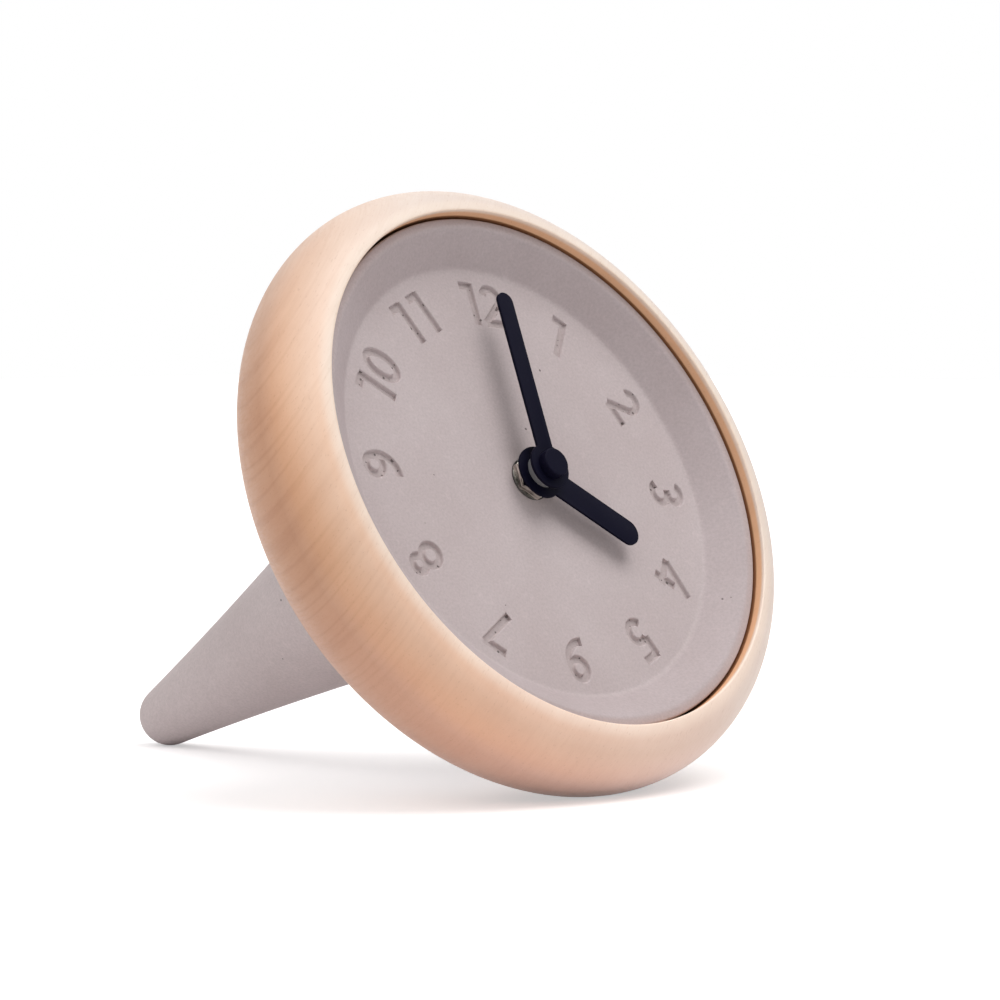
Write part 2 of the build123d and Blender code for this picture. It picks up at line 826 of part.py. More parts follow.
dial_frame = centred * standing() * Rot(0, 0, -dial_turn)
for label, point in (("dial", Vector(0, 0, 0)), ("third", third_centre), ("setting", setting_centre),
                     ("idler", idler_centre), ("rotor", rotor_centre)):
    print(label, (dial_frame * Pos(point)).position)
print("axis", Plane(dial_frame).z_dir, "lean", math.degrees(lean_angle()))
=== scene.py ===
import json
import math
import bpy
from mathutils import Matrix, Vector


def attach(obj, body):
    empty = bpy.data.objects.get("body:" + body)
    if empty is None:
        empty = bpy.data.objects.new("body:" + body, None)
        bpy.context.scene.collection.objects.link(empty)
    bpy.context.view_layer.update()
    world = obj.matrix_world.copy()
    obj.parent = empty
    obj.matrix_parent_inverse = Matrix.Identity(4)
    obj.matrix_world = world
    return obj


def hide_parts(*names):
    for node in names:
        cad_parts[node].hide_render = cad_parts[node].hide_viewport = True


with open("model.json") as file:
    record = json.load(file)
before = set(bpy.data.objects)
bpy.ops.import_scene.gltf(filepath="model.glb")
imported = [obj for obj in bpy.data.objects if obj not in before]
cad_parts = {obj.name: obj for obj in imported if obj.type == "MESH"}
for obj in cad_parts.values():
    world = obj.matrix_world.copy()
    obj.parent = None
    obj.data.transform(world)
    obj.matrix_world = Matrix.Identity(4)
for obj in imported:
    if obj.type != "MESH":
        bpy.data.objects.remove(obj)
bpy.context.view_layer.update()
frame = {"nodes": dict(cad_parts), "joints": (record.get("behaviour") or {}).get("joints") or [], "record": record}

# Sizes in millimetres about the dial's axis: radius outwards, height out of the dial's flat face.
# Cutters run past what they cut by the overrun, and points within the reaches are merged.
MM = 0.001
MERGE_REACH = 0.002
WELD_REACH = 0.004
OVERRUN = 1.0

# Turns in degrees: the dial in its ring, and the wood's growth layers.
DIAL_ROLL = 6.6
GRAIN_TURN = 43.0
GRAIN_LEAN = 8.6

FLAT_RADIUS = 53.8
LIP_RADIUS = 61.7
LIP_HEIGHT = 6.6
DIAL_RADIUS = 64.1
DIAL_BACK = -8.0
BUSH_HOLE = 3.95
NUMERAL_CIRCLE = 45.1
NUMERAL_HEIGHT = 11.0
DIGIT_PITCH = 6.93
HOUR_STEP = 30

OPENING_RADIUS = 64.7
RING_RADIUS = 75.0
BELLY_HEIGHT = -4.7
SHOULDER_RADIUS = 17.0
SHOULDER_TILT = 46.0
CREST_TILT = 4.0
REAR_CURVE = (80.2, 39.116)
CHAMBER_RADIUS = 40.659
FLANGE_BORE = 50.259
REAR_RADIUS = 54.259
LEDGE = -25.75
RING_BACK = -30.95

FLANGE_RADIUS = 49.959
FLANGE_FRONT = -25.95
KNOB_ROOM_RADIUS = 18.688
KNOB_ROOM_BACK = -31.55
NECK_RADIUS = 27.6
TIP_RADIUS = 7.7
TIP_MIDDLE = -140.25
TIP_SLOPE = 8.4
CONE_SIDE_POINTS = 24
FLARE_CLEAR = 1.0

MAGNETS = 3
MAGNET_CIRCLE = 45.459
POCKET_RADIUS = 3.05
POCKET_DEPTH = 3.0

WASHER_RADIUS = 5.3
WASHER_THICK = 0.5
NUT_FLATS = 9.6
NUT_HEIGHT = 2.1
NUT_CLEAR = 0.1
NUT_FOOT = {"in": 0.5, "up": 0.3}
NUT_TOP = {"in": 0.75, "down": 0.45}
HOUR_HAND = {"length": 30.2, "width": 6.5, "hub": 6.4, "bore": 2.55,
             "seat": 3.6, "thick": 0.6, "clock": 120.0}
MINUTE_HAND = {"length": 44.6, "width": 4.7, "hub": 5.5, "bore": 1.55,
               "seat": 6.8, "thick": 0.7, "clock": 0.0}
COLLAR = {"bore": 2.55, "radius": 4.0, "seat": 4.2, "height": 2.1}
CAP = {"bore": 1.55, "radius": 3.5, "flat": 2.0, "seat": 7.5, "height": 2.3, "roof": 0.7}

# How far each turned corner is eased, and the edges of hands and nut.
EASE = {"heel": 1.2, "rim": 0.5, "lip_out": 0.6, "lip_in": 0.7, "slope_foot": 0.7, "flare": 7.6,
        "cap_top": 0.4, "cap_foot": 0.12, "sleeve_top": 0.3, "sleeve_foot": 0.15,
        "washer_top": 0.2, "washer_foot": 0.08}
HAND_EDGE = {"width": 0.12, "segments": 3, "angle": 50}
NUT_EDGE = {"width": 0.07, "segments": 2, "angle": 25}

# Steps of the lathe, and the sharpest angle in degrees that is shaded as smooth.
LATHE_STEPS = {"ring": 240, "dial": 240, "cone": 192, "hub": 96, "nut": 72}
SMOOTH = {"ring": 28, "dial": 16, "cone": 28, "hub": 32, "nut": 30}

# Strokes of the digits as shares of their height: lines by their ends, arcs by middle, radius,
# first angle and turn, loops by middle and two radii.
DIGIT_STROKES = {
    "0": [("loop", (0, 0), 0.24, 0.418)],
    "1": [("line", (0.07, 0.5), (0.07, -0.5)), ("line", (-0.24, 0.418), (0.07, 0.418))],
    "2": [("arc", (0, 0.193), 0.225, 165, -210), ("line", (0.159, 0.034), (-0.30, -0.425)),
          ("line", (-0.30, -0.418), (0.31, -0.418))],
    "3": [("arc", (0, 0.212), 0.206, 155, -245), ("arc", (0, -0.193), 0.225, 90, -245),
          ("line", (-0.08, 0.02), (0.02, 0.02))],
    "4": [("line", (0.227, 0.48), (-0.295, -0.26)), ("line", (-0.34, -0.26), (0.32, -0.26)),
          ("line", (0.165, 0.07), (0.165, -0.5))],
    "5": [("line", (-0.22, 0.418), (0.27, 0.418)), ("line", (-0.17, 0.45), (-0.17, 0.0)),
          ("arc", (-0.03, -0.188), 0.23, 128, -278)],
    "7": [("line", (-0.29, 0.418), (0.32, 0.418)), ("line", (0.27, 0.45), (-0.17, -0.5))],
    "8": [("loop", (0, 0.24), 0.175, 0.178), ("loop", (0, -0.18), 0.225, 0.238)],
    "9": [("loop", (0, 0.2), 0.21, 0.218), ("arc", (-0.23, 0.05), 0.468, 18, -108)],
}

# Half of an engraved groove's section: softly worn at its mouth, round at its floor.
GROOVE_HALF = [(1.5, 0.5), (1.3, 0.03), (1.1, -0.05), (0.97, -0.19), (0.89, -0.4),
               (0.82, -0.66), (0.62, -0.85)]


def turning(name):
    """Place of the pieces that lie about the axis of a joint."""
    joint = next(j for j in frame["joints"] if j["name"] == name)
    outward = -Vector(joint["axis"])
    tilt = math.atan2(-outward.y, outward.z)
    return Matrix.Translation(joint["pos_m"]) @ Matrix.Rotation(tilt, 4, "X")


ring_place = turning("minute_turn")
dial_place = ring_place @ Matrix.Rotation(math.radians(-DIAL_ROLL), 4, "Z")
wood_place = (ring_place @ Matrix.Rotation(math.radians(GRAIN_TURN), 4, "Z")
              @ Matrix.Rotation(math.radians(-GRAIN_LEAN), 4, "X"))


# Shaping by hand

def new_point(name):
    """A new mesh that is one loose point at the origin, open for drawing."""
    bpy.ops.object.select_all(action="DESELECT")
    bpy.ops.mesh.primitive_plane_add(size=MM, location=(0, 0, 0))
    piece = bpy.context.object
    piece.name = name
    piece.data.name = name
    bpy.ops.object.mode_set(mode="EDIT")
    bpy.ops.mesh.select_all(action="SELECT")
    bpy.ops.mesh.merge(type="CENTER")
    return piece


def draw_through(points):
    """Runs the loose point through places in millimetres and leaves a line behind."""
    places = [Vector(p) * MM for p in points]
    bpy.ops.transform.translate(value=places[0])
    for before, after in zip(places, places[1:]):
        bpy.ops.mesh.extrude_region_move(TRANSFORM_OT_translate={"value": after - before})


def merge_all():
    """Selects all that is drawn and merges what meets."""
    bpy.ops.mesh.select_all(action="SELECT")
    bpy.ops.mesh.remove_doubles(threshold=MERGE_REACH * MM)


def close_up():
    """Merges what meets, turns the faces outwards and ends the drawing."""
    merge_all()
    bpy.ops.mesh.normals_make_consistent(inside=False)
    bpy.ops.object.mode_set(mode="OBJECT")


def turned(name, section, steps):
    """Piece turned on a lathe from a section of (radius, height) points."""
    piece = new_point(name)
    draw_through([(radius, 0, height) for radius, height in section])
    bpy.ops.mesh.select_all(action="SELECT")
    bpy.ops.mesh.spin(steps=steps, angle=2 * math.pi, center=(0, 0, 0), axis=(0, 0, 1))
    close_up()
    return piece


def only(piece):
    """Selects one piece and nothing else."""
    bpy.ops.object.select_all(action="DESELECT")
    piece.select_set(True)
    bpy.context.view_layer.objects.active = piece


def stand(piece, place):
    """Moves a piece to its place and leaves the place in its mesh."""
    only(piece)
    piece.matrix_world = place
    bpy.ops.object.transform_apply(location=True, rotation=True, scale=True)


def carve(piece, cutter, operation="DIFFERENCE"):
    """Cuts a piece with a cutter, which is used up."""
    only(piece)
    tool = piece.modifiers.new("carve", "BOOLEAN")
    tool.operation = operation
    tool.solver = "MANIFOLD"
    tool.object = cutter
    bpy.ops.object.modifier_apply(modifier="carve")
    bpy.data.objects.remove(cutter, do_unlink=True)


def weld(piece):
    """Closes the hair-fine slivers that carving leaves."""
    only(piece)
    bpy.ops.object.mode_set(mode="EDIT")
    bpy.ops.mesh.select_all(action="SELECT")
    bpy.ops.mesh.remove_doubles(threshold=WELD_REACH * MM)
    bpy.ops.mesh.dissolve_degenerate(threshold=WELD_REACH * MM)
    bpy.ops.object.mode_set(mode="OBJECT")


def ease_edges(piece, width, segments, angle):
    """Rounds the edges that are sharper than an angle."""
    only(piece)
    tool = piece.modifiers.new("ease", "BEVEL")
    tool.limit_method = "ANGLE"
    tool.angle_limit = math.radians(angle)
    tool.width = width * MM
    tool.segments = segments
    bpy.ops.object.modifier_apply(modifier="ease")


def shade(piece, angle):
    """Shades a piece as smooth, apart from edges sharper than an angle."""
    only(piece)
    bpy.ops.object.shade_smooth_by_angle(angle=math.radians(angle))


def peg(radius, low, high, at=(0, 0), sides=48):
    """Round cutter between two heights."""
    bpy.ops.object.select_all(action="DESELECT")
    bpy.ops.mesh.primitive_cylinder_add(
        vertices=sides, radius=radius * MM, depth=(high - low) * MM,
        location=(at[0] * MM, at[1] * MM, (low + high) / 2 * MM))
    cutter = bpy.context.object
    bpy.ops.object.transform_apply(location=True, rotation=True, scale=True)
    return cutter


def joined(pieces):
    """Makes several pieces one."""
    only(pieces[0])
    for piece in pieces:
        piece.select_set(True)
    bpy.ops.object.join()
    return pieces[0]


def arc(middle, across, along, start, turn, count):
    """Points along an arc of a circle or an ellipse."""
    angles = [math.radians(start + turn * k / count) for k in range(count + 1)]
    return [(middle[0] + across * math.cos(a), middle[1] + along * math.sin(a)) for a in angles]


def eased(before, corner, after, reach, count=6):
    """Corner of a section rounded over a reach along both its sides."""
    corner = Vector(corner)
    first = corner + (Vector(before) - corner).normalized() * reach
    last = corner + (Vector(after) - corner).normalized() * reach
    points = []
    for k in range(count + 1):
        t = k / count
        point = first * (1 - t) ** 2 + corner * 2 * t * (1 - t) + last * t ** 2
        points.append((point.x, point.y))
    return points


# Wooden ring, dial and cone

def magnet_pegs(low, high):
    """Cutters for the magnets' pockets, the first at the top."""
    turns = [math.radians(90 + 360 / MAGNETS * k) for k in range(MAGNETS)]
    places = [(MAGNET_CIRCLE * math.cos(a), MAGNET_CIRCLE * math.sin(a)) for a in turns]
    return joined([peg(POCKET_RADIUS, low, high, at=p) for p in places])


def make_turned_ring():
    """Wooden ring: long curve behind, round shoulder in front, with a seat and a ledge inside."""
    rear_middle = (RING_RADIUS - REAR_CURVE[0], BELLY_HEIGHT)
    rear_end = math.degrees(math.asin((BELLY_HEIGHT - RING_BACK) / REAR_CURVE[1]))
    rear = arc(rear_middle, *REAR_CURVE, -rear_end, rear_end, count=28)
    shoulder_middle = (RING_RADIUS - SHOULDER_RADIUS, BELLY_HEIGHT)
    shoulder = arc(shoulder_middle, SHOULDER_RADIUS, SHOULDER_RADIUS,
                   0, 90 - SHOULDER_TILT, count=14)
    start, end = math.radians(SHOULDER_TILT), math.radians(CREST_TILT)
    crown_radius = (shoulder[-1][0] - OPENING_RADIUS) / (math.sin(start) - math.sin(end))
    crown_middle = (shoulder[-1][0] - crown_radius * math.sin(start),
                    shoulder[-1][1] - crown_radius * math.cos(start))
    crown = arc(crown_middle, crown_radius, crown_radius,
                90 - SHOULDER_TILT, SHOULDER_TILT - CREST_TILT, count=16)
    front = shoulder + crown[1:]
    rim = crown[-1]
    heel = (REAR_RADIUS, RING_BACK)
    section = [(OPENING_RADIUS, DIAL_BACK), (CHAMBER_RADIUS, DIAL_BACK), (CHAMBER_RADIUS, LEDGE),
               (FLANGE_BORE, LEDGE), (FLANGE_BORE, RING_BACK)]
    section += eased((FLANGE_BORE, RING_BACK), heel, rear[1], EASE["heel"])
    section += rear[1:] + front[1:-2]
    section += eased(front[-3], rim, (OPENING_RADIUS, 0), EASE["rim"], count=8)
    section += [(OPENING_RADIUS, DIAL_BACK)]
    ring = turned("turned_ring", section, LATHE_STEPS["ring"])
    carve(ring, magnet_pegs(LEDGE - OVERRUN, LEDGE + POCKET_DEPTH))
    stand(ring, ring_place)
    bpy.ops.object.mode_set(mode="EDIT")
    bpy.ops.mesh.select_all(action="SELECT")
    bpy.ops.mesh.bisect(plane_co=(0, 0, 0), plane_no=(0, 0, 1), use_fill=True, clear_inner=True)
    bpy.ops.object.mode_set(mode="OBJECT")
    weld(ring)
    shade(ring, SMOOTH["ring"])
    return ring


def drawn_curve(name, points):
    """Curve drawn through points in millimetres."""
    piece = new_point(name)
    draw_through(points)
    merge_all()
    bpy.ops.object.mode_set(mode="OBJECT")
    only(piece)
    bpy.ops.object.convert(target="CURVE")
    return bpy.context.object


def groove_profile():
    """Closed outline of the groove, to be swept along the strokes."""
    left = [(-x, y) for x, y in reversed(GROOVE_HALF)]
    outline = GROOVE_HALF + left + GROOVE_HALF[:1]
    return drawn_curve("groove_profile", [(x, y, 0) for x, y in outline])


def stroke_points(kind, *shares):
    """Points of a stroke in millimetres about the middle of its digit."""
    if kind == "line":
        points = shares
    elif kind == "arc":
        middle, radius, start, turn = shares
        points = arc(middle, radius, radius, start, turn, count=28)
    else:
        middle, across, along = shares
        points = arc(middle, across, along, 90, 360, count=36)
    return [Vector(p) * NUMERAL_HEIGHT for p in points]


def stroke_cutter(points, profile):
    """One groove of a digit, swept along its stroke."""
    cutter = drawn_curve("stroke", [(p.x, p.y, 0) for p in points])
    cutter.data.dimensions = "3D"
    cutter.data.twist_mode = "Z_UP"
    cutter.data.bevel_mode = "OBJECT"
    cutter.data.bevel_object = profile
    cutter.data.use_fill_caps = True
    bpy.ops.object.convert(target="MESH")
    cutter = bpy.context.object
    bpy.ops.object.mode_set(mode="EDIT")
    close_up()
    return cutter


def numeral_cutters(hour, profile):
    """Grooves of one number with its top to the rim; the six alone has its foot to the rim."""
    text = "9" if hour == 6 else str(hour)
    first = -DIGIT_PITCH * (len(text) - 1) / 2
    cutters = []
    for place, digit in enumerate(text):
        shift = Vector((first + place * DIGIT_PITCH, NUMERAL_CIRCLE))
        for stroke in DIGIT_STROKES[digit]:
            cutters.append(stroke_cutter([p + shift for p in stroke_points(*stroke)], profile))
    for cutter in cutters:
        stand(cutter, Matrix.Rotation(math.radians(-HOUR_STEP * hour), 4, "Z"))
    return cutters


def make_cast_dial():
    """Dished concrete disc with a raised lip and engraved numbers."""
    lip_out = (DIAL_RADIUS, LIP_HEIGHT)
    lip_in = (LIP_RADIUS, LIP_HEIGHT)
    foot = (FLAT_RADIUS, 0)
    section = [(BUSH_HOLE, DIAL_BACK), (DIAL_RADIUS, DIAL_BACK)]
    section += eased((DIAL_RADIUS, 0), lip_out, lip_in, EASE["lip_out"])
    section += eased(lip_out, lip_in, foot, EASE["lip_in"])
    section += eased(lip_in, foot, (BUSH_HOLE, 0), EASE["slope_foot"], count=8)
    section += [(BUSH_HOLE, 0), (BUSH_HOLE, DIAL_BACK)]
    dial = turned("cast_dial", section, LATHE_STEPS["dial"])
    profile = groove_profile()
    for hour in range(1, 13):
        for cutter in numeral_cutters(hour, profile):
            carve(dial, cutter)
    bpy.data.objects.remove(profile, do_unlink=True)
    stand(dial, dial_place)
    weld(dial)
    shade(dial, SMOOTH["dial"])
    return dial


def make_cast_cone():
    """Concrete cone with a round tip, a flared neck and a flange that closes the ring's back."""
    tip = arc((0, TIP_MIDDLE), TIP_RADIUS, TIP_RADIUS, -90, 90 - TIP_SLOPE, count=18)
    neck = Vector((NECK_RADIUS, RING_BACK))
    tip_end = Vector(tip[-1])
    run, rise = neck.y - tip_end.y, neck.x - tip_end.x
    first = run * math.tan(math.radians(TIP_SLOPE))
    side = []
    for k in range(1, CONE_SIDE_POINTS):
        t = k / CONE_SIDE_POINTS
        side.append((tip_end.x + first * t + (rise - first) * t ** 2, tip_end.y + run * t))
    flare = eased(side[-3], neck, (FLANGE_RADIUS, RING_BACK), EASE["flare"], count=10)
    section = tip + [p for p in side if p[1] < flare[0][1] - FLARE_CLEAR] + flare
    section += [(FLANGE_RADIUS, RING_BACK), (FLANGE_RADIUS, FLANGE_FRONT),
                (KNOB_ROOM_RADIUS, FLANGE_FRONT), (KNOB_ROOM_RADIUS, KNOB_ROOM_BACK),
                (0, KNOB_ROOM_BACK)]
    cone = turned("cast_cone", section, LATHE_STEPS["cone"])
    carve(cone, magnet_pegs(FLANGE_FRONT - POCKET_DEPTH, FLANGE_FRONT + OVERRUN))
    stand(cone, ring_place)
    weld(cone)
    shade(cone, SMOOTH["cone"])
    return cone


# Hands and what holds them

def make_hand(name, size):
    """Flat straight hand with a round end and a round hub."""
    half = size["width"] / 2
    reach = size["length"] - half
    opening = math.degrees(math.asin(half / size["hub"]))
    outline = arc((0, 0), size["hub"], size["hub"], 90 + opening, 360 - 2 * opening, count=60)
    outline += arc((0, reach), half, half, 0, 180, count=28)
    hand = new_point(name)
    draw_through([(x, y, size["seat"]) for x, y in outline + outline[:1]])
    merge_all()
    bpy.ops.mesh.edge_face_add()
    bpy.ops.mesh.extrude_region_move(TRANSFORM_OT_translate={"value": (0, 0, size["thick"] * MM)})
    close_up()
    carve(hand, peg(size["bore"], size["seat"] - OVERRUN, size["seat"] + 2 * OVERRUN))
    ease_edges(hand, **HAND_EDGE)
    stand(hand, dial_place @ Matrix.Rotation(math.radians(-size["clock"]), 4, "Z"))
    shade(hand, SMOOTH["hub"])
    return hand


def make_hand_cap():
    """Turned cap over the minute hand's hub."""
    top = CAP["seat"] + CAP["height"]
    rim = (CAP["radius"], top)
    foot = (CAP["radius"], CAP["seat"])
    section = [(0, top), (CAP["flat"], top)]
    section += eased((0, top), rim, foot, EASE["cap_top"])
    section += eased(rim, foot, (0, CAP["seat"]), EASE["cap_foot"], count=3)
    roof = top - CAP["roof"]
    section += [(CAP["bore"], CAP["seat"]), (CAP["bore"], roof), (0, roof)]
    cap = turned("round_cap", section, LATHE_STEPS["hub"])
    stand(cap, dial_place)
    shade(cap, SMOOTH["hub"])
    return cap


def make_hour_collar():
    """Grey sleeve between the two hands."""
    low, high = COLLAR["seat"], COLLAR["seat"] + COLLAR["height"]
    bore, radius = COLLAR["bore"], COLLAR["radius"]
    section = eased((bore, low), (radius, low), (radius, high), EASE["sleeve_foot"], count=3)
    section += eased((radius, low), (radius, high), (bore, high), EASE["sleeve_top"], count=5)
    section += [(bore, high), (bore, low)] + section[:1]
    collar = turned("grey_sleeve", section, LATHE_STEPS["hub"])
    stand(collar, dial_place)
    shade(collar, SMOOTH["hub"])
    return collar


def make_fixing_nut():
    """Hexagon nut with both its rims turned down."""
    low, high = WASHER_THICK, WASHER_THICK + NUT_HEIGHT
    corner = NUT_FLATS / math.sqrt(3)
    bpy.ops.object.select_all(action="DESELECT")
    bpy.ops.mesh.primitive_circle_add(
        vertices=6, radius=corner * MM, fill_type="NGON", location=(0, 0, low * MM))
    nut = bpy.context.object
    nut.name = "hex_nut"
    nut.data.name = "hex_nut"
    bpy.ops.object.transform_apply(location=True, rotation=True, scale=True)
    bpy.ops.object.mode_set(mode="EDIT")
    bpy.ops.mesh.select_all(action="SELECT")
    bpy.ops.mesh.extrude_region_move(TRANSFORM_OT_translate={"value": (0, 0, NUT_HEIGHT * MM)})
    close_up()
    outside = corner + NUT_CLEAR
    section = [(0, low), (corner - NUT_FOOT["in"], low), (outside, low + NUT_FOOT["up"]),
               (outside, high - NUT_TOP["down"]), (corner - NUT_TOP["in"], high), (0, high)]
    carve(nut, turned("nut_blank", section, LATHE_STEPS["nut"]), "INTERSECT")
    carve(nut, peg(BUSH_HOLE, low - OVERRUN, high + OVERRUN, sides=64))
    ease_edges(nut, **NUT_EDGE)
    stand(nut, dial_place)
    shade(nut, SMOOTH["nut"])
    return nut


def make_nut_washer():
    """Thin stamped washer with a rolled upper edge."""
    radius, thick = WASHER_RADIUS, WASHER_THICK
    section = [(BUSH_HOLE, 0)]
    section += eased((BUSH_HOLE, 0), (radius, 0), (radius, thick), EASE["washer_foot"], count=3)
    section += eased((radius, 0), (radius, thick), (BUSH_HOLE, thick), EASE["washer_top"], count=5)
    section += [(BUSH_HOLE, thick), (BUSH_HOLE, 0)]
    washer = turned("thin_washer", section, LATHE_STEPS["hub"])
    stand(washer, dial_place)
    shade(washer, SMOOTH["hub"])
    return washer


# Finishes

# Middle range of a noise, and the sockets of a mix of colours.
NOISE_RANGE = (0.3, 0.7)
MIX_SHARE, MIX_FIRST, MIX_SECOND, MIX_RESULT = 0, 6, 7, 2


class Finish:
    """Material drawn from nodes, with a few short words for the nodes used here."""

    def __init__(self, name):
        self.material = bpy.data.materials.new(name)
        self.material.use_nodes = True
        self.tree = self.material.node_tree
        self.surface = self.tree.nodes["Principled BSDF"]

    def node(self, kind, **settings):
        made = self.tree.nodes.new(kind)
        for key, value in settings.items():
            setattr(made, key, value)
        return made

    def link(self, source, target):
        self.tree.links.new(source, target)

    def feed(self, socket, value):
        """Gives a socket a number, a tone or what another node puts out."""
        if isinstance(value, (int, float)):
            socket.default_value = value
        elif isinstance(value, tuple):
            socket.default_value = (*value, 1.0)
        else:
            self.link(value, socket)

    def place(self, matrix=None, stretch=(1, 1, 1)):
        """Object coordinates, seen from a piece's own frame and stretched."""
        vector = self.node("ShaderNodeTexCoord").outputs["Object"]
        if matrix is not None:
            local = self.node("ShaderNodeMapping", vector_type="TEXTURE")
            local.inputs["Location"].default_value = matrix.translation
            local.inputs["Rotation"].default_value = matrix.to_euler()
            self.link(vector, local.inputs["Vector"])
            vector = local.outputs["Vector"]
        if stretch != (1, 1, 1):
            wide = self.node("ShaderNodeMapping")
            wide.inputs["Scale"].default_value = stretch
            self.link(vector, wide.inputs["Vector"])
            vector = wide.outputs["Vector"]
        return vector

    def split(self, vector):
        """The three parts of a place."""
        made = self.node("ShaderNodeSeparateXYZ")
        self.link(vector, made.inputs["Vector"])
        return [made.outputs[axis] for axis in "XYZ"]

    def noise(self, vector, scale=1.0, detail=3.0, rough=0.55):
        made = self.node("ShaderNodeTexNoise")
        made.inputs["Scale"].default_value = scale
        made.inputs["Detail"].default_value = detail
        made.inputs["Roughness"].default_value = rough
        self.link(vector, made.inputs["Vector"])
        return made.outputs["Fac"]

    def spread(self, value, low, high, to_low=0.0, to_high=1.0):
        """A value stretched from one range to another and held at its ends."""
        made = self.node("ShaderNodeMapRange", clamp=True)
        ends = {"From Min": low, "From Max": high, "To Min": to_low, "To Max": to_high}
        for socket, number in ends.items():
            made.inputs[socket].default_value = number
        self.link(value, made.inputs["Value"])
        return made.outputs["Result"]

    def over(self, value, marks, to_low=0.0, to_high=1.0):
        """A length stretched from between two marks in millimetres."""
        return self.spread(value, marks[0] * MM, marks[1] * MM, to_low, to_high)

    def below(self, value, marks):
        """One below the first mark and nought above the second."""
        return self.over(value, marks, 1.0, 0.0)

    def maths(self, operation, first, second):
        made = self.node("ShaderNodeMath", operation=operation)
        for socket, value in zip(made.inputs, (first, second)):
            self.feed(socket, value)
        return made.outputs["Value"]

    def times(self, first, second):
        return self.maths("MULTIPLY", first, second)

    def from_axis(self, across, up):
        """Distance from the axis of a piece's own frame."""
        squares = self.maths("ADD", self.times(across, across), self.times(up, up))
        return self.maths("POWER", squares, 0.5)

    def mix(self, share, first, second, blend="MIX"):
        made = self.node("ShaderNodeMix", data_type="RGBA", blend_type=blend)
        for index, value in ((MIX_SHARE, share), (MIX_FIRST, first), (MIX_SECOND, second)):
            self.feed(made.inputs[index], value)
        return made.outputs[MIX_RESULT]

    def tint(self, share, tone, factor):
        """A tone multiplied by a factor, by a share."""
        return self.mix(share, tone, factor, "MULTIPLY")

    def colour(self, value):
        self.feed(self.surface.inputs["Base Color"], value)

    def metallic(self, value):
        self.feed(self.surface.inputs["Metallic"], value)

    def roughness(self, value):
        self.feed(self.surface.inputs["Roughness"], value)

    def uneven(self, pattern, low, high):
        """Roughness that follows a pattern between two values."""
        self.roughness(self.spread(pattern, *NOISE_RANGE, low, high))

    def gloss(self, value):
        self.feed(self.surface.inputs["Specular IOR Level"], value)

    def bump(self, height, depth, strength):
        """Raises the surface by a depth in millimetres."""
        made = self.node("ShaderNodeBump")
        made.inputs["Strength"].default_value = strength
        made.inputs["Distance"].default_value = depth * MM
        self.link(height, made.inputs["Height"])
        self.link(made.outputs["Normal"], self.surface.inputs["Normal"])


# Marks in millimetres where the wood's tone and its painted light and shade change: out of the dial, from its
# axis, and across the ring.
WOOD_MARKS = {
    "front": (-4, 8), "gap_shade": (6.6, 7.0), "wall_foot": (DIAL_BACK - 1, DIAL_BACK),
    "wall_top": (8.6, 9.3), "brow_foot": (8.0, 9.0), "highlight_foot": (8.4, 9.2),
    "wall": (64.9, 65.2), "brow": (65.0, 65.25), "edge": (65.6, 69.0),
    "end": (-66, 16), "upper": (10, 40), "low": (-60, -18),
}
# The end that is painted paler, as lit wood, leans towards the top, where the light comes from.
LIT_END_LEAN = 0.35
UPPER_LEAN = 0.5

# Ranges of the wood's places and patterns: low and high, and what they become.
WOOD_RANGES = {
    "honey_in": (0.05, 0.35), "honey_out": (0.55, 0.95, 1.0, 0.0),
    "bounce_front": (0.0, 0.85, 1.0, 0.1), "bounce_end": (0.6, 1.0, 1.0, 0.3),
    "drawn_end": (0.0, 0.8, 1.0, 0.30), "drawn_front": (0.0, 1.0, 1.0, 0.45),
    "drawn_low": (0.0, 1.0, 1.0, 0.35), "sway": (0.0, 1.0, -0.35, 0.35),
    "lines": (0.0, 0.075, 0.42, 0.0), "bands": (0.42, 0.72), "clouds": (0.35, 0.70),
    "fibres": (0.42, 0.72, 0.0, 0.3), "flecks": (0.64, 0.76),
}
HIGHLIGHT_SHARE = 0.8
FLECK_SHARE = 0.30

# Stretch of the wood's patterns along the grain, across it and through it.
WOOD_STRETCH = {"sway": (9, 20, 9), "layers": (2.5, 300, 9), "bands": (4, 95, 8),
                "fibres": (90, 2600, 500), "flecks": (600, 2600, 1700)}

# Tones of the wood, and the tints that its places and patterns lay over them; the lit and front sheen tones, the
# edge tone, and the tints in the gap at the dial, on the foot and on the low front are painted light and shade.
WOOD_TONES = {
    "warm_side": (0.60, 0.325, 0.198), "warm_front_sheen": (0.88, 0.605, 0.445),
    "lit_side": (0.86, 0.68, 0.565), "lit_front_sheen": (0.80, 0.69, 0.62),
    "wall": (0.88, 0.53, 0.31), "edge": (0.93, 0.80, 0.69),
}
WOOD_TINTS = {
    "honey": (1.03, 0.95, 0.85), "gap_shade": (0.36, 0.27, 0.22), "foot": (1.27, 1.36, 1.60),
    "bounce_low_front": (1.10, 1.04, 1.0), "lines": (0.82, 0.74, 0.67), "bands": (0.98, 0.955, 0.93),
    "clouds": (0.955, 0.93, 0.92), "fibres": (0.92, 0.88, 0.84), "flecks": (0.72, 0.62, 0.55),
}


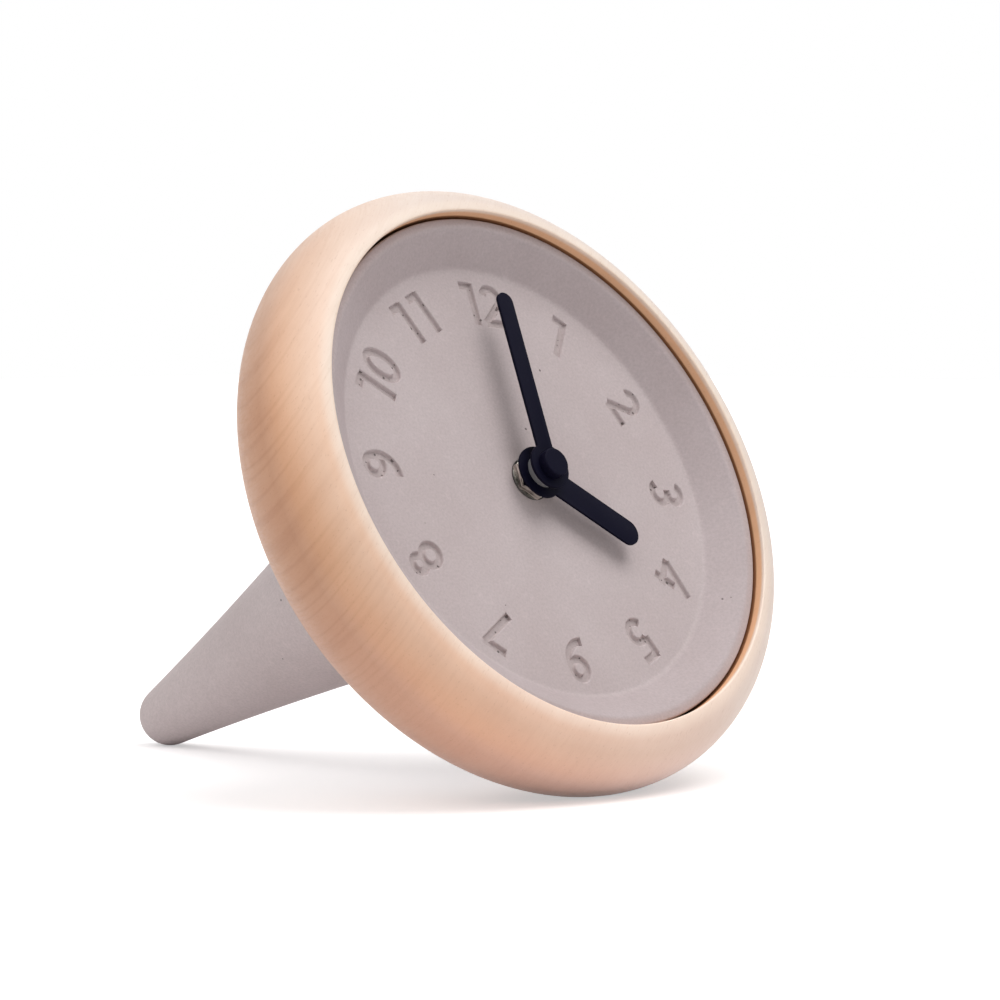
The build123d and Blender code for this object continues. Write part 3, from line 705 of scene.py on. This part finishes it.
def pale_wood():
    """Oiled pale wood: straight growth layers, fibres and ray flecks, with painted light and shade: paler and
    sheened towards the light and at the front, warm and dark at the shaded end, a painted highlight on the
    opening's edge, painted shade in the gap at the dial and painted bounce light underneath.
    """
    finish = Finish("pale_oiled_wood")
    marks, ranges, tones, tints = WOOD_MARKS, WOOD_RANGES, WOOD_TONES, WOOD_TINTS

    # Places on the ring: its front and its end towards the light, both painted paler as sheen and light, the wall
    # of the opening, the edge about it with its painted highlight, the painted shade in the gap at the dial, and
    # the foot with its painted bounce light.
    across, up, out = finish.split(finish.place(ring_place))
    radius = finish.from_axis(across, up)
    front = finish.over(out, marks["front"])
    end = finish.over(finish.maths("ADD", across, finish.times(up, LIT_END_LEAN)), marks["end"])
    low = finish.below(up, marks["low"])
    wall = finish.times(finish.below(radius, marks["wall"]), finish.below(out, marks["wall_top"]))
    wall = finish.times(wall, finish.over(out, marks["wall_foot"]))
    upper = finish.over(finish.maths("ADD", up, finish.times(across, UPPER_LEAN)), marks["upper"])
    brow = finish.times(upper, finish.below(radius, marks["brow"]))
    brow = finish.times(brow, finish.over(out, marks["brow_foot"]))
    wall = finish.maths("MAXIMUM", wall, brow)
    # Painted highlight: a pale band along the edge of the opening, where the crest catches the light.
    edge = finish.times(finish.below(radius, marks["edge"]), finish.over(out, marks["highlight_foot"]))
    # Painted shade: the wall darkened just above the dial's lip, where the gap between dial and ring lies in
    # shade.
    gap_shade = finish.times(wall, finish.below(out, marks["gap_shade"]))
    honey = finish.times(finish.spread(front, *ranges["honey_in"]),
                         finish.spread(front, *ranges["honey_out"]))
    # Painted bounce light: the ring's underside lightened towards the front and the warm end, as if lit by the
    # floor.
    foot = finish.times(low, finish.spread(front, *ranges["bounce_front"]))
    foot = finish.times(foot, finish.spread(end, *ranges["bounce_end"]))

    # Patterns of the grain, and how strongly its layers are drawn.
    grain = {name: finish.place(wood_place, stretch) for name, stretch in WOOD_STRETCH.items()}
    sway = finish.noise(grain["sway"], detail=2.0)
    bent = finish.node("ShaderNodeVectorMath", operation="ADD")
    finish.link(grain["layers"], bent.inputs[0])
    finish.link(finish.spread(sway, *ranges["sway"]), bent.inputs[1])
    layers = finish.noise(bent.outputs["Vector"], detail=1.0, rough=0.45)
    layers = finish.maths("ABSOLUTE", finish.maths("SUBTRACT", layers, 0.5), 0.0)
    bands = finish.noise(grain["bands"], detail=2.0)
    fibres = finish.noise(grain["fibres"], detail=3.0, rough=0.65)
    flecks = finish.spread(finish.noise(grain["flecks"], detail=1.0), *ranges["flecks"])
    clouds = finish.noise(finish.place(wood_place), scale=70.0, detail=3.0)
    drawn = finish.times(finish.spread(end, *ranges["drawn_end"]),
                         finish.spread(front, *ranges["drawn_front"]))
    drawn = finish.times(drawn, finish.spread(low, *ranges["drawn_low"]))
    lines = finish.times(drawn, finish.spread(layers, *ranges["lines"]))
    bands = finish.times(drawn, finish.spread(bands, *ranges["bands"]))

    # Tones, one laid over the other; the front and the end towards the light are painted paler as sheen and light.
    warm = finish.mix(front, tones["warm_side"], tones["warm_front_sheen"])
    warm = finish.tint(honey, warm, tints["honey"])
    pale = finish.mix(front, tones["lit_side"], tones["lit_front_sheen"])
    tone = finish.mix(wall, finish.mix(end, warm, pale), tones["wall"])
    # Painted shade in the gap at the dial.
    tone = finish.tint(gap_shade, tone, tints["gap_shade"])
    # Painted highlight along the opening's edge.
    tone = finish.mix(finish.times(edge, HIGHLIGHT_SHARE), tone, tones["edge"])
    # Painted bounce light on the underside and on the low front.
    tone = finish.tint(foot, tone, tints["foot"])
    tone = finish.tint(finish.times(low, front), tone, tints["bounce_low_front"])
    tone = finish.tint(lines, tone, tints["lines"])
    tone = finish.tint(bands, tone, tints["bands"])
    tone = finish.tint(finish.spread(clouds, *ranges["clouds"]), tone, tints["clouds"])
    tone = finish.tint(finish.spread(fibres, *ranges["fibres"]), tone, tints["fibres"])
    tone = finish.tint(finish.times(flecks, FLECK_SHARE), tone, tints["flecks"])
    finish.colour(tone)
    finish.uneven(fibres, 0.36, 0.52)
    finish.bump(finish.maths("SUBTRACT", fibres, flecks), depth=0.02, strength=0.5)
    finish.gloss(0.5)
    return finish.material


# Concrete: depth in the numbers, the dial's slope and the cone's underside, in millimetres; the numbers' grooves
# and the slope get painted shade, the cone's underside painted light.
CONCRETE_MARKS = {"holes": (-0.35, -0.1), "groove": (-0.8, -0.1),
                  "slope_shade": (FLAT_RADIUS, FLAT_RADIUS + 1), "underside": (-22, 8)}
CONCRETE_RANGES = {"sand": (0.35, 0.75, 0.0, 0.60), "grain": (0.56, 0.75, 0.0, 0.45)}
CONCRETE_TINTS = {"sand": (0.78, 0.78, 0.77), "grain": (1.14, 1.14, 1.14),
                  "groove": (0.93, 0.92, 0.91), "slope_shade": (0.905, 0.895, 0.90),
                  "underside": (1.45, 1.45, 1.45)}
DIAL_TONES = ((0.535, 0.455, 0.457), (0.597, 0.520, 0.525))
# The cone's tones are a little lighter than the dial's: painted light on the cone, which lies in the ring's shade.
CONE_TONES = ((0.555, 0.477, 0.475), (0.622, 0.543, 0.541))

# Air holes: those drawn above a limit stay, with sizes and soft edges as shares of their spacing.
HOLE_LIMITS = {"dial": (0.25, 0.998), "cone": (0.985, 0.996)}
HOLE_SIZES = (0.07, 0.27)
HOLE_EDGE = 0.03
HOLE_SHARE = 0.75
HOLE_TONE = (0.10, 0.085, 0.08)
GRAIN_RELIEF = 0.25
SAND_RELIEF = 0.12


def cast_concrete(name, place, tones, numbered):
    """Fine grey concrete: soft clouds, sand and air holes, on the dial mostly in its numbers; painted shade in the
    grooves and on the dial's slope, and painted light on the cone's underside.
    """
    finish = Finish(name)
    marks, ranges, tints = CONCRETE_MARKS, CONCRETE_RANGES, CONCRETE_TINTS
    local = finish.place(place)
    across, up, out = finish.split(local)
    clouds = finish.noise(local, scale=26.0, detail=4.0, rough=0.6)
    sand = finish.noise(local, scale=1500.0, detail=2.0, rough=0.7)
    grain = finish.noise(local, scale=420.0, detail=3.0, rough=0.6)
    holes = finish.node("ShaderNodeTexVoronoi", feature="F1")
    holes.inputs["Scale"].default_value = 600.0
    finish.link(local, holes.inputs["Vector"])
    pick = finish.node("ShaderNodeSeparateColor")
    finish.link(holes.outputs["Color"], pick.inputs["Color"])
    if numbered:
        limit = finish.over(out, marks["holes"], *HOLE_LIMITS["dial"])
    else:
        limit = finish.spread(clouds, *NOISE_RANGE, *HOLE_LIMITS["cone"])
    chosen = finish.maths("GREATER_THAN", pick.outputs["Red"], limit)
    size = finish.spread(pick.outputs["Green"], 0.0, 1.0, *HOLE_SIZES)
    depth = finish.maths("SUBTRACT", size, holes.outputs["Distance"])
    pit = finish.times(chosen, finish.spread(depth, 0.0, HOLE_EDGE))
    tone = finish.mix(finish.spread(clouds, *NOISE_RANGE), *tones)
    tone = finish.tint(finish.spread(sand, *ranges["sand"]), tone, tints["sand"])
    tone = finish.tint(finish.spread(grain, *ranges["grain"]), tone, tints["grain"])
    if numbered:
        # Painted shade: darker down in the grooves of the numbers.
        tone = finish.tint(finish.below(out, marks["groove"]), tone, tints["groove"])
        # Painted shade: the dial's slope darkened, as if shaded by the ring.
        slope_shade = finish.over(finish.from_axis(across, up), marks["slope_shade"])
        tone = finish.tint(slope_shade, tone, tints["slope_shade"])
    else:
        # Painted light: the cone's underside lightened, as if lit by the floor.
        tone = finish.tint(finish.below(up, marks["underside"]), tone, tints["underside"])
    finish.colour(finish.mix(finish.times(pit, HOLE_SHARE), tone, HOLE_TONE))
    finish.uneven(grain, 0.72, 0.9)
    relief = finish.maths("ADD", finish.times(grain, GRAIN_RELIEF), finish.times(sand, SAND_RELIEF))
    finish.bump(finish.maths("SUBTRACT", relief, pit), depth=0.25, strength=0.7)
    finish.gloss(0.25)
    return finish.material


def painted(name, tone, worn, rough):
    """Thin sprayed paint with a fine orange peel."""
    finish = Finish(name)
    place = finish.place()
    peel = finish.noise(place, scale=1600.0, detail=2.0)
    drift = finish.noise(place, scale=90.0, detail=3.0)
    finish.colour(finish.mix(finish.spread(drift, *NOISE_RANGE), tone, worn))
    finish.uneven(peel, rough - 0.06, rough + 0.08)
    finish.gloss(0.035)
    finish.bump(peel, depth=0.015, strength=0.5)
    return finish.material


def moulded(name, tone, shadow, rough):
    """Moulded plastic with a fine spark-eroded grain."""
    finish = Finish(name)
    place = finish.place()
    grain = finish.noise(place, scale=2600.0, detail=2.0)
    drift = finish.noise(place, scale=60.0, detail=2.0)
    finish.colour(finish.mix(finish.spread(drift, *NOISE_RANGE), tone, shadow))
    finish.uneven(grain, rough - 0.08, rough + 0.08)
    finish.bump(grain, depth=0.012, strength=0.5)
    return finish.material


# Metals: the shares of stains and working marks in the second tone, and the range that shows it; on the nut the
# two tones are painted reflection, bright and near black.
STAIN_SHARE = 0.4
MARK_SHARE = 0.6
STAIN_AND_REFLECTION_RANGE = (0.42, 0.60)


def metal(name, tone, stain_and_reflection, rough, lines):
    """Turned or stamped metal with fine lines along its working direction."""
    finish = Finish(name)
    marks = finish.noise(finish.place(dial_place, lines), detail=3.0, rough=0.7)
    stains = finish.noise(finish.place(), scale=240.0, detail=2.0)
    worn = finish.maths("ADD", finish.times(stains, STAIN_SHARE), finish.times(marks, MARK_SHARE))
    finish.colour(finish.mix(finish.spread(worn, *STAIN_AND_REFLECTION_RANGE), tone, stain_and_reflection))
    finish.metallic(1.0)
    finish.uneven(marks, rough - 0.07, rough + 0.1)
    finish.bump(marks, depth=0.01, strength=0.4)
    return finish.material


WIRE_TONES = ((0.28, 0.09, 0.03), (0.62, 0.25, 0.09))


def wound_wire():
    """Enamelled copper wire laid turn beside turn along the coil."""
    finish = Finish("enamelled_wire")
    turns = finish.node("ShaderNodeTexWave", wave_type="BANDS", bands_direction="Y",
                        wave_profile="SIN")
    turns.inputs["Scale"].default_value = 900.0
    turns.inputs["Distortion"].default_value = 0.6
    finish.link(finish.place(dial_place), turns.inputs["Vector"])
    finish.colour(finish.mix(turns.outputs["Fac"], *WIRE_TONES))
    finish.metallic(0.8)
    finish.roughness(0.32)
    finish.bump(turns.outputs["Fac"], depth=0.05, strength=0.8)
    return finish.material


# Battery: where its band begins and its sleeve ends, in millimetres, and its tones.
BAND_MARKS = (9.9, 10.1)
SLEEVE_HALF = 23.95
SCUFF_RANGE = (0.62, 0.8, 0.0, 0.3)
BAND_METAL = 0.6
CELL_TONES = {"body": (0.025, 0.028, 0.034), "band": (0.58, 0.30, 0.14),
              "scuff": (0.30, 0.30, 0.31), "bare": (0.68, 0.68, 0.69)}


def wrapped_cell():
    """Printed sleeve of a plain battery: dark body with a copper-coloured band at its nub."""
    finish = Finish("battery_sleeve")
    local = finish.place(dial_place)
    along = finish.split(local)[0]
    band = finish.over(along, BAND_MARKS)
    bare = finish.maths("GREATER_THAN", finish.maths("ABSOLUTE", along, 0.0), SLEEVE_HALF * MM)
    scuffs = finish.noise(local, scale=700.0, detail=3.0, rough=0.7)
    tone = finish.mix(band, CELL_TONES["body"], CELL_TONES["band"])
    tone = finish.mix(finish.spread(scuffs, *SCUFF_RANGE), tone, CELL_TONES["scuff"])
    finish.colour(finish.mix(bare, tone, CELL_TONES["bare"]))
    finish.metallic(finish.maths("MAXIMUM", bare, finish.times(band, BAND_METAL)))
    finish.uneven(scuffs, 0.24, 0.4)
    finish.bump(scuffs, depth=0.01, strength=0.4)
    return finish.material


LACQUER_TONES = ((0.02, 0.13, 0.05), (0.03, 0.18, 0.08))
TRACK_TONE = (0.10, 0.34, 0.16)
TRACK_SHARE = 0.6


def circuit_lacquer():
    """Green lacquer over copper tracks."""
    finish = Finish("board_lacquer")
    local = finish.place(dial_place)
    tracks = finish.node("ShaderNodeTexBrick")
    tracks.inputs["Scale"].default_value = 320.0
    tracks.inputs["Mortar Size"].default_value = 0.06
    finish.link(local, tracks.inputs["Vector"])
    weave = finish.noise(local, scale=900.0, detail=2.0)
    tone = finish.mix(finish.spread(weave, *NOISE_RANGE), *LACQUER_TONES)
    tracked = finish.times(tracks.outputs["Fac"], TRACK_SHARE)
    finish.colour(finish.mix(tracked, tone, TRACK_TONE))
    finish.uneven(weave, 0.28, 0.42)
    finish.bump(tracks.outputs["Fac"], depth=0.03, strength=0.5)
    return finish.material


finishes = {
    "wood": pale_wood(),
    "concrete": cast_concrete("dial_concrete", dial_place, DIAL_TONES, numbered=True),
    "hand_paint": painted(
        "hand_paint", tone=(0.0042, 0.0040, 0.0125), worn=(0.0054, 0.0051, 0.0150), rough=0.46),
    "grey_plastic": moulded(
        "grey_sleeve_plastic", tone=(0.22, 0.22, 0.228), shadow=(0.195, 0.195, 0.203), rough=0.38),
    "white_plastic": moulded(
        "white_gear_plastic", tone=(0.74, 0.73, 0.69), shadow=(0.68, 0.67, 0.63), rough=0.42),
    "black_plastic": moulded(
        "black_case_plastic", tone=(0.022, 0.022, 0.023), shadow=(0.03, 0.03, 0.031), rough=0.46),
    # Painted reflection: the nut's bright and near-black streaks stand in for what its polished metal reflects.
    "bright_brass": metal(
        "nut_metal_painted_reflection", tone=(0.90, 0.85, 0.77), stain_and_reflection=(0.04, 0.037, 0.033), rough=0.18,
        lines=(120, 120, 1500)),
    "steel": metal(
        "spring_steel", tone=(0.56, 0.56, 0.57), stain_and_reflection=(0.46, 0.46, 0.47), rough=0.34,
        lines=(400, 3200, 400)),
    "plated": metal(
        "nickel_plate", tone=(0.62, 0.60, 0.57), stain_and_reflection=(0.46, 0.44, 0.41), rough=0.22,
        lines=(500, 500, 3000)),
    "black_rubber": moulded(
        "gasket_rubber", tone=(0.018, 0.018, 0.018), shadow=(0.026, 0.026, 0.026), rough=0.72),
    "copper_wire": wound_wire(),
    "board": circuit_lacquer(),
    "battery_wrap": wrapped_cell(),
}
# Painted shadow: the washer is near black, standing in for the shadow line at the nut's foot.
washer_shadow_plate = metal(
    "washer_shadow_plate", tone=(0.20, 0.19, 0.18), stain_and_reflection=(0.05, 0.048, 0.045), rough=0.28,
    lines=(500, 500, 3000))
# The cone's own copy of the concrete carries its painted light.
cone_concrete_lit = cast_concrete("cone_concrete_lit", ring_place, CONE_TONES, numbered=False)

for entry in frame["record"]["subparts"]:
    node = frame["nodes"][entry["node"]]
    for material_slot in node.material_slots:
        material_slot.material = finishes[entry["material_slot"]]


def put_in(piece, node, body, slot, material=None):
    """Finishes a piece and lets it stand for its solid on a body."""
    piece.data.materials.clear()
    piece.data.materials.append(material or finishes[slot])
    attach(piece, body)
    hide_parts(node)


put_in(make_turned_ring(), "wooden_ring", "frame", "wood")
put_in(make_cast_dial(), "dial", "frame", "concrete")
put_in(make_cast_cone(), "stand_cone", "cone", "concrete", cone_concrete_lit)
put_in(make_hand("short_hand", HOUR_HAND), "hour_hand", "hour", "hand_paint")
put_in(make_hand("long_hand", MINUTE_HAND), "minute_hand", "minute", "hand_paint")
put_in(make_hand_cap(), "hand_cap", "minute", "hand_paint")
put_in(make_hour_collar(), "hour_collar", "hour", "grey_plastic")
put_in(make_fixing_nut(), "fixing_nut", "frame", "bright_brass")
put_in(make_nut_washer(), "nut_washer", "frame", "plated", washer_shadow_plate)


# Floor, light and camera: lengths in metres, turns in degrees, the floor's drop in millimetres.

FLOOR_SIZE = 8.0
FLOOR_DROP = 0.1
FLOOR_TONES = ((0.80, 0.79, 0.795), (0.82, 0.81, 0.815))
FLOOR_GLOW = 0.46
SKY_LIGHT = 0.284
SKY_SEEN = 1.0
KEY_WINDOW = {"comes_from": (0.22, -0.30, 0.93), "spread": 44.0, "level": 1.83,
              "tone": (1.0, 0.99, 0.98)}
SIDE_WINDOW = {"comes_from": (-0.55, 0.10, 0.83), "spread": 60.0, "level": 1.08,
               "tone": (1.0, 0.995, 0.99)}
CAMERA_PLACE = (-0.66395, -0.68127, 0.11089)
CAMERA_TURN = (87.2076, 0.029, -45.9019)
SENSOR_WIDTH = 36.0
LENS = 144.0
NEAR_CLIP = 0.01


def seen_share(nodes, links):
    """One for rays that show the background: from the camera, in metal and through glass."""
    path = nodes.new("ShaderNodeLightPath")
    total = path.outputs["Is Camera Ray"]
    for name in ("Is Glossy Ray", "Is Transmission Ray"):
        most = nodes.new("ShaderNodeMath")
        most.operation = "MAXIMUM"
        links.new(total, most.inputs[0])
        links.new(path.outputs[name], most.inputs[1])
        total = most.outputs["Value"]
    return total


def make_floor():
    """Wide pale floor that fades into the white background."""
    bpy.ops.object.select_all(action="DESELECT")
    bpy.ops.mesh.primitive_plane_add(size=FLOOR_SIZE, location=(0, 0, -FLOOR_DROP * MM))
    floor = bpy.context.object
    floor.name = "pale_floor"
    finish = Finish("pale_floor")
    drift = finish.noise(finish.place(), scale=3.0, detail=2.0)
    finish.colour(finish.mix(drift, *FLOOR_TONES))
    finish.roughness(0.9)
    finish.gloss(0.0)
    glow = finish.times(seen_share(finish.tree.nodes, finish.tree.links), FLOOR_GLOW)
    finish.feed(finish.surface.inputs["Emission Color"], (1.0, 1.0, 1.0))
    finish.feed(finish.surface.inputs["Emission Strength"], glow)
    floor.data.materials.append(finish.material)


def make_sky():
    """White all round, brighter where it is seen than where it lights."""
    world = bpy.data.worlds.new("soft_white")
    bpy.context.scene.world = world
    world.use_nodes = True
    nodes, links = world.node_tree.nodes, world.node_tree.links
    sky = nodes["Background"]
    sky.inputs["Color"].default_value = (1, 1, 1, 1)
    level = nodes.new("ShaderNodeMapRange")
    level.inputs["To Min"].default_value = SKY_LIGHT
    level.inputs["To Max"].default_value = SKY_SEEN
    links.new(seen_share(nodes, links), level.inputs["Value"])
    links.new(level.outputs["Result"], sky.inputs["Strength"])


def soft_window(name, comes_from, spread, level, tone):
    """Wide soft light from one side, even over the whole floor."""
    bpy.ops.object.select_all(action="DESELECT")
    bpy.ops.object.light_add(type="SUN", location=comes_from)
    lamp = bpy.context.object
    lamp.name = name
    lamp.rotation_euler = (-Vector(comes_from)).to_track_quat("-Z", "Y").to_euler()
    lamp.data.angle = math.radians(spread)
    lamp.data.energy = level
    lamp.data.color = tone


def make_camera():
    """The photograph's view."""
    bpy.ops.object.select_all(action="DESELECT")
    bpy.ops.object.camera_add(
        location=CAMERA_PLACE, rotation=[math.radians(angle) for angle in CAMERA_TURN])
    camera = bpy.context.object
    camera.data.sensor_width = SENSOR_WIDTH
    camera.data.lens = LENS
    camera.data.clip_start = NEAR_CLIP
    bpy.context.scene.camera = camera


make_floor()
make_sky()
soft_window("key_window", **KEY_WINDOW)
soft_window("side_window", **SIDE_WINDOW)
make_camera()
bpy.context.scene.view_settings.view_transform = "Standard"
